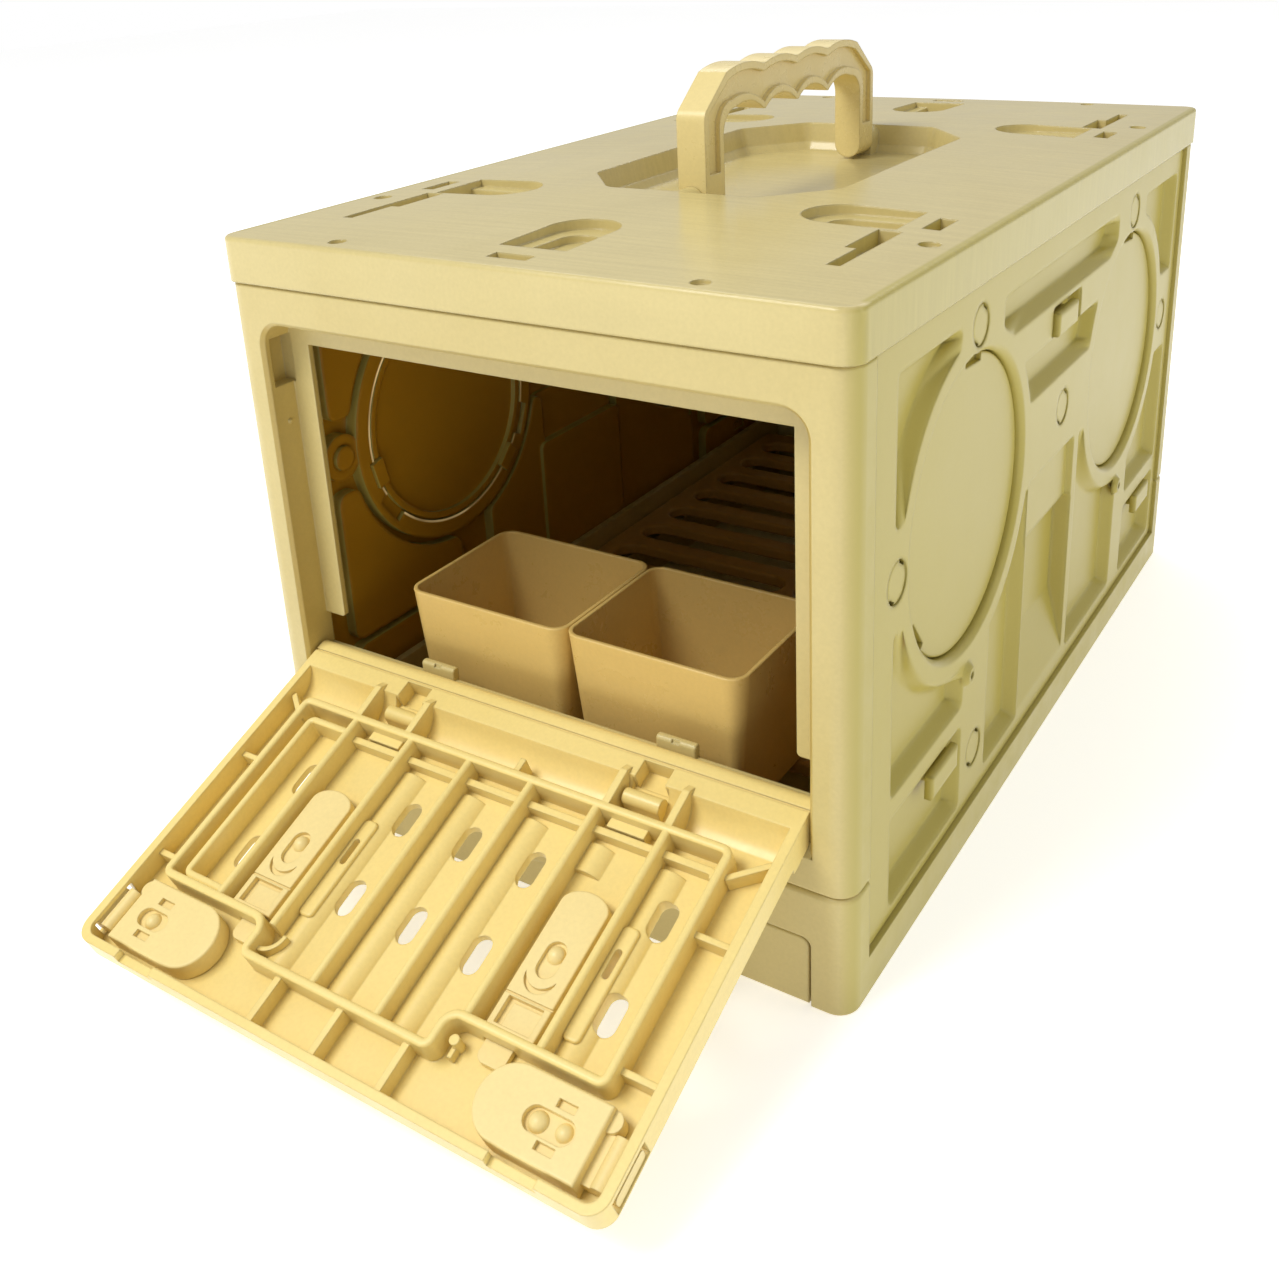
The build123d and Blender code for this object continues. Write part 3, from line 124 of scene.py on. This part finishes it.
    # the outer skin of the door matches the frame
    if outside:
        on = N("ShaderNodeSeparateXYZ"); L(tex.outputs["Normal"], on.inputs[0])
        ro = N("ShaderNodeMapRange"); ro.inputs["From Min"].default_value = -0.15; ro.inputs["From Max"].default_value = -0.55
        L(on.outputs["Z"], ro.inputs["Value"])
        mo = N("ShaderNodeMix", data_type="RGBA", blend_type="MIX")
        mo.inputs[7].default_value = outside
        L(ro.outputs["Result"], mo.inputs[0]); L(color, mo.inputs[6])
        color = mo.outputs[2]
    # painted shade: the side that faces the cabin is tinted browner and darker
    leak = None
    if inner_shade:
        ri = N("ShaderNodeMapRange"); ri.inputs["From Min"].default_value = -0.012; ri.inputs["From Max"].default_value = -0.045
        L(mx.outputs["Value"], ri.inputs["Value"])
        mi = N("ShaderNodeMix", data_type="RGBA", blend_type="MULTIPLY")
        mi.inputs[7].default_value = inner_shade
        L(ri.outputs["Result"], mi.inputs[0]); L(color, mi.inputs[6])
        color = mi.outputs[2]
        if glow:
            # painted glow standing in for daylight through the thin gap round each hatch, seen from inside
            ay = N("ShaderNodeMath", operation="ABSOLUTE"); L(pos.outputs["Y"], ay.inputs[0])
            dy = N("ShaderNodeMath", operation="SUBTRACT"); L(ay.outputs[0], dy.inputs[0]); dy.inputs[1].default_value = 0.088
            dz = N("ShaderNodeMath", operation="SUBTRACT"); L(pos.outputs["Z"], dz.inputs[0]); dz.inputs[1].default_value = 0.127
            y2 = N("ShaderNodeMath", operation="MULTIPLY"); L(dy.outputs[0], y2.inputs[0]); L(dy.outputs[0], y2.inputs[1])
            r2_ = N("ShaderNodeMath", operation="MULTIPLY_ADD"); L(dz.outputs[0], r2_.inputs[0]); L(dz.outputs[0], r2_.inputs[1]); L(y2.outputs[0], r2_.inputs[2])
            rr = N("ShaderNodeMath", operation="SQRT"); L(r2_.outputs[0], rr.inputs[0])
            off = N("ShaderNodeMath", operation="SUBTRACT"); L(rr.outputs[0], off.inputs[0]); off.inputs[1].default_value = 0.04432
            ab = N("ShaderNodeMath", operation="ABSOLUTE"); L(off.outputs[0], ab.inputs[0])
            rg = N("ShaderNodeMapRange"); rg.inputs["From Min"].default_value = 0.00075; rg.inputs["From Max"].default_value = 0.00035
            L(ab.outputs[0], rg.inputs["Value"])
            ng = N("ShaderNodeTexNoise"); ng.inputs["Scale"].default_value = 26.0; L(co, ng.inputs["Vector"])
            rn = N("ShaderNodeMapRange"); rn.inputs["From Min"].default_value = 0.42; rn.inputs["From Max"].default_value = 0.58
            rn.inputs["To Min"].default_value = 0.15
            L(ng.outputs["Fac"], rn.inputs["Value"])
            g1 = N("ShaderNodeMath", operation="MULTIPLY"); L(rg.outputs["Result"], g1.inputs[0]); L(rn.outputs["Result"], g1.inputs[1])
            g2 = N("ShaderNodeMath", operation="MULTIPLY"); L(g1.outputs[0], g2.inputs[0]); L(ri.outputs["Result"], g2.inputs[1])
            leak = g2.outputs[0]

    # skin: long waves of the mould, orange peel, fine grain
    n4 = N("ShaderNodeTexNoise"); n4.inputs["Scale"].default_value = 320.0; n4.inputs["Detail"].default_value = 5.0
    L(co, n4.inputs["Vector"])
    n5 = N("ShaderNodeTexNoise"); n5.inputs["Scale"].default_value = 36.0; n5.inputs["Detail"].default_value = 2.0
    L(mp.outputs["Vector"], n5.inputs["Vector"])
    add = N("ShaderNodeMath", operation="MULTIPLY_ADD")
    L(n5.outputs["Fac"], add.inputs[0]); add.inputs[1].default_value = 3.0; L(n4.outputs["Fac"], add.inputs[2])
    height = add.outputs["Value"]

    # scuffs in the gloss
    n3 = N("ShaderNodeTexNoise"); n3.inputs["Scale"].default_value = 55.0; n3.inputs["Detail"].default_value = 6.0
    n3.inputs["Roughness"].default_value = 0.7
    L(co, n3.inputs["Vector"])
    r3 = N("ShaderNodeMapRange"); r3.inputs["From Min"].default_value = 0.35; r3.inputs["From Max"].default_value = 0.72
    r3.inputs["To Min"].default_value = rough - scuff / 2; r3.inputs["To Max"].default_value = rough + scuff
    L(n3.outputs["Fac"], r3.inputs["Value"])

    if streak > 0:
        # fine drawn grain across the part
        ms = N("ShaderNodeMapping"); ms.inputs["Scale"].default_value = (14.0, 520.0, 60.0)
        L(co, ms.inputs["Vector"])
        n6 = N("ShaderNodeTexNoise"); n6.inputs["Scale"].default_value = 1.0; n6.inputs["Detail"].default_value = 4.0
        L(ms.outputs["Vector"], n6.inputs["Vector"])
        a2 = N("ShaderNodeMath", operation="MULTIPLY_ADD")
        L(n6.outputs["Fac"], a2.inputs[0]); a2.inputs[1].default_value = streak; L(height, a2.inputs[2])
        height = a2.outputs["Value"]
        r6 = N("ShaderNodeMapRange"); r6.inputs["From Min"].default_value = 0.3; r6.inputs["From Max"].default_value = 0.7
        r6.inputs["To Min"].default_value = 0.96; r6.inputs["To Max"].default_value = 1.04
        L(n6.outputs["Fac"], r6.inputs["Value"])
        m6 = N("ShaderNodeVectorMath", operation="SCALE")
        L(color, m6.inputs[0]); L(r6.outputs["Result"], m6.inputs["Scale"])
        color = m6.outputs["Vector"]
    bump = N("ShaderNodeBump"); bump.inputs["Strength"].default_value = 0.5; bump.inputs["Distance"].default_value = skin
    L(height, bump.inputs["Height"])
    L(bev.outputs["Normal"], bump.inputs["Normal"])

    b = N("ShaderNodeBsdfPrincipled")
    L(color, b.inputs["Base Color"])
    L(r3.outputs["Result"], b.inputs["Roughness"])
    b.inputs["Specular IOR Level"].default_value = spec
    b.inputs["IOR"].default_value = 1.5
    # painted glow: emission along the gap round each hatch
    if leak:
        b.inputs["Emission Color"].default_value = (0.62, 0.47, 0.22, 1.0)
        ls = N("ShaderNodeMath", operation="MULTIPLY"); L(leak, ls.inputs[0]); ls.inputs[1].default_value = 0.85
        L(ls.outputs[0], b.inputs["Emission Strength"])
    L(bump.outputs["Normal"], b.inputs["Normal"])
    out = N("ShaderNodeOutputMaterial")
    L(b.outputs["BSDF"], out.inputs["Surface"])
    return k.m


def steel(name):
    """Steel for the pins: fine noise bump and varied roughness and tone, a little dulled."""
    k = Mat(name)
    N, L = k.node, k.link
    tex = N("ShaderNodeTexCoord")
    n1 = N("ShaderNodeTexNoise"); n1.inputs["Scale"].default_value = 700.0; n1.inputs["Detail"].default_value = 4.0
    L(tex.outputs["Object"], n1.inputs["Vector"])
    r1 = N("ShaderNodeMapRange"); r1.inputs["To Min"].default_value = 0.24; r1.inputs["To Max"].default_value = 0.45
    L(n1.outputs["Fac"], r1.inputs["Value"])
    n2 = N("ShaderNodeTexNoise"); n2.inputs["Scale"].default_value = 120.0
    L(tex.outputs["Object"], n2.inputs["Vector"])
    ramp = N("ShaderNodeValToRGB")
    ramp.color_ramp.elements[0].color = srgb(140, 138, 132); ramp.color_ramp.elements[1].color = srgb(205, 203, 198)
    L(n2.outputs["Fac"], ramp.inputs["Fac"])
    bump = N("ShaderNodeBump"); bump.inputs["Strength"].default_value = 0.3; bump.inputs["Distance"].default_value = 0.00008
    L(n1.outputs["Fac"], bump.inputs["Height"])
    b = N("ShaderNodeBsdfPrincipled")
    L(ramp.outputs["Color"], b.inputs["Base Color"]); L(r1.outputs["Result"], b.inputs["Roughness"])
    b.inputs["Metallic"].default_value = 1.0
    L(bump.outputs["Normal"], b.inputs["Normal"])
    out = N("ShaderNodeOutputMaterial")
    L(b.outputs["BSDF"], out.inputs["Surface"])
    return k.m


# painted shade: brown tint multiplied onto the side that faces the cabin
INNER_SHADE = (1.0, 0.60, 0.14, 1.0)
# painted shade: darker, greener tint for the flanks of the shell and lid
FLANK_SHADE = (0.48, 0.40, 0.10, 1.0)

M = {
    # painted shade: the cabin side of shell, tray and side panels is tinted browner and darker, and the flanks of shell
    # and lid greener
    "shell": plastic("shell_plastic", (0.59, 0.485, 0.205, 1.0), drift=0.2, skin=0.00003, inner_shade=(0.92, 0.84, 0.60, 1.0), flank_shade=FLANK_SHADE),
    # painted shade: side panels and hatches have the shell's tone painted darker and greener for the light that falls
    # on the flanks
    "side": plastic("side_plastic", (0.47, 0.39, 0.088, 1.0), flow=5.0, rough=0.30, drift=0.14, scuff=0.02, speck=0.012, skin=0.000004, bevel=0.0024, rub=0.6, spec=0.36, inner_shade=INNER_SHADE, glow=True),
    "hatch": plastic("hatch_plastic", (0.47, 0.39, 0.088, 1.0), flow=5.0, rough=0.30, drift=0.14, scuff=0.02, speck=0.012, skin=0.000004, bevel=0.0012, rub=0.6, spec=0.36, inner_shade=INNER_SHADE),
    "lid": plastic("lid_plastic", (0.60, 0.50, 0.22, 1.0), streak=3.0, rough=0.22, drift=0.25, scuff=0.04, skin=0.000018, bevel=0.0010, flank_shade=FLANK_SHADE),
    "door": plastic("door_plastic", (0.88, 0.70, 0.26, 1.0), rough=0.33, drift=0.2, skin=0.00003, bevel=0.0007, outside=(0.59, 0.485, 0.205, 1.0)),
    "latch": plastic("latch_plastic", (0.87, 0.70, 0.30, 1.0), rough=0.40, drift=0.25, skin=0.00005, bevel=0.0005),
    "handle": plastic("handle_plastic", (0.76, 0.62, 0.27, 1.0), rough=0.28, drift=0.2, skin=0.00004, bevel=0.0008),
    "cup": plastic("cup_plastic", (0.70, 0.49, 0.16, 1.0), rough=0.30, drift=0.2, skin=0.00003, bevel=0.0006),
    "tray": plastic("tray_plastic", (0.59, 0.485, 0.205, 1.0), drift=0.2, skin=0.00003, bevel=0.0010, inner_shade=(0.92, 0.80, 0.55, 1.0)),
    "grille": plastic("grille_plastic", (0.50, 0.285, 0.06, 1.0), drift=0.2, skin=0.00002, bevel=0.0012),
    "steel": steel("pin_steel"),
}

ASSIGN = {
    "base_tub": "shell", "front_frame": "shell", "rear_frame": "shell", "rear_panel": "shell",
    "side_panel_left": "side", "side_panel_right": "side", "side_plugs_left": "side", "side_plugs_right": "side",
    "strap_hooks_left": "side", "strap_hooks_right": "side",
    "waste_tray": "tray", "floor_grille": "grille", "feed_cup_left": "cup", "feed_cup_right": "cup",
    "lid": "lid", "handle": "handle", "handle_pins": "steel", "door_hinge_pins": "steel",
    "door": "door", "door_latch_left": "latch", "door_latch_right": "latch",
    "slide_lock_left": "latch", "slide_lock_right": "latch",
    "hatch_left_front": "hatch", "hatch_left_rear": "hatch", "hatch_right_front": "hatch", "hatch_right_rear": "hatch",
}
for name, o in NODES.items():
    mat = M[ASSIGN[name]]
    if not o.material_slots:
        o.data.materials.append(mat)
    for s in o.material_slots:
        s.material = mat

# ------------------------------------------------------------------- floor
bpy.ops.mesh.primitive_plane_add(size=8.0, location=(0, 0, 0))
floor = bpy.context.object
floor.name = "floor"
k = Mat("floor_paper")
tex = k.node("ShaderNodeTexCoord")
nz = k.node("ShaderNodeTexNoise"); nz.inputs["Scale"].default_value = 3.0
k.link(tex.outputs["Object"], nz.inputs["Vector"])
cr = k.node("ShaderNodeValToRGB")
cr.color_ramp.elements[0].color = (0.94, 0.94, 0.935, 1); cr.color_ramp.elements[1].color = (0.97, 0.97, 0.965, 1)
k.link(nz.outputs["Fac"], cr.inputs["Fac"])
pb = k.node("ShaderNodeBsdfPrincipled"); pb.inputs["Roughness"].default_value = 0.8
pb.inputs["Specular IOR Level"].default_value = 0.1
pb.inputs["Emission Color"].default_value = (1.0, 1.0, 1.0, 1.0)
pb.inputs["Emission Strength"].default_value = 0.50
k.link(cr.outputs["Color"], pb.inputs["Base Color"])
ob = k.node("ShaderNodeOutputMaterial"); k.link(pb.outputs["BSDF"], ob.inputs["Surface"])
floor.data.materials.append(k.m)

# ------------------------------------------------------------------ lights
scene.view_settings.view_transform = "Standard"
scene.view_settings.look = "None"
scene.view_settings.exposure = 0.0
scene.view_settings.gamma = 1.0
world = bpy.data.worlds.new("studio")
scene.world = world
world.use_nodes = True
wt = world.node_tree
bg = wt.nodes["Background"]
bg.inputs["Color"].default_value = (1.0, 1.0, 1.0, 1)
bg.inputs["Strength"].default_value = 0.50
seen = wt.nodes.new("ShaderNodeBackground")
seen.inputs["Color"].default_value = (1.0, 1.0, 1.0, 1)
seen.inputs["Strength"].default_value = 1.0
ray = wt.nodes.new("ShaderNodeLightPath")
mixw = wt.nodes.new("ShaderNodeMixShader")
wt.links.new(ray.outputs["Is Camera Ray"], mixw.inputs[0])
wt.links.new(bg.outputs[0], mixw.inputs[1])
wt.links.new(seen.outputs[0], mixw.inputs[2])
wt.links.new(mixw.outputs[0], wt.nodes["World Output"].inputs["Surface"])


def area(name, loc, target, size, power, color=(1, 1, 1)):
    d = bpy.data.lights.new(name, "AREA")
    d.shape = "RECTANGLE"
    d.size, d.size_y = size
    d.energy = power
    d.color = color
    o = bpy.data.objects.new(name, d)
    scene.collection.objects.link(o)
    o.location = loc
    o.rotation_euler = (Vector(target) - Vector(loc)).to_track_quat("-Z", "Y").to_euler()
    return o


area("key", (-0.61, -1.14, 1.67), (0, -0.12, 0.1), (0.9, 0.7), 26, (1.0, 0.985, 0.94))
area("top", (-0.35, 0.95, 1.1), (0, 0.0, 0.2), (1.6, 0.35), 4.5, (1.0, 1.0, 0.98))
area("side", (1.5, 0.25, 0.55), (0, 0.05, 0.1), (0.35, 1.2), 2.6, (0.98, 1.0, 0.93))

# ------------------------------------------------------------------ camera
cam_d = bpy.data.cameras.new("camera")
cam = bpy.data.objects.new("camera", cam_d)
scene.collection.objects.link(cam)
right = Vector((0.83933741, 0.5416016, -0.04669498))
down = Vector((0.15275552, -0.31742021, -0.93590072))
fwd = Vector((-0.52170726, 0.77840357, -0.34915529))
R = Matrix((right, -down, -fwd)).transposed().to_4x4()
cam.matrix_world = Matrix.Translation((0.238742, -0.463376, 0.300721)) @ R
cam_d.sensor_fit = "HORIZONTAL"
cam_d.sensor_width = 36.0
cam_d.lens = 1367.87 / 1279.0 * 36.0
cam_d.shift_x = -0.5 / 1279.0
cam_d.shift_y = -209.5 / 1279.0
cam_d.clip_start = 0.01
cam_d.dof.use_dof = False
scene.camera = cam
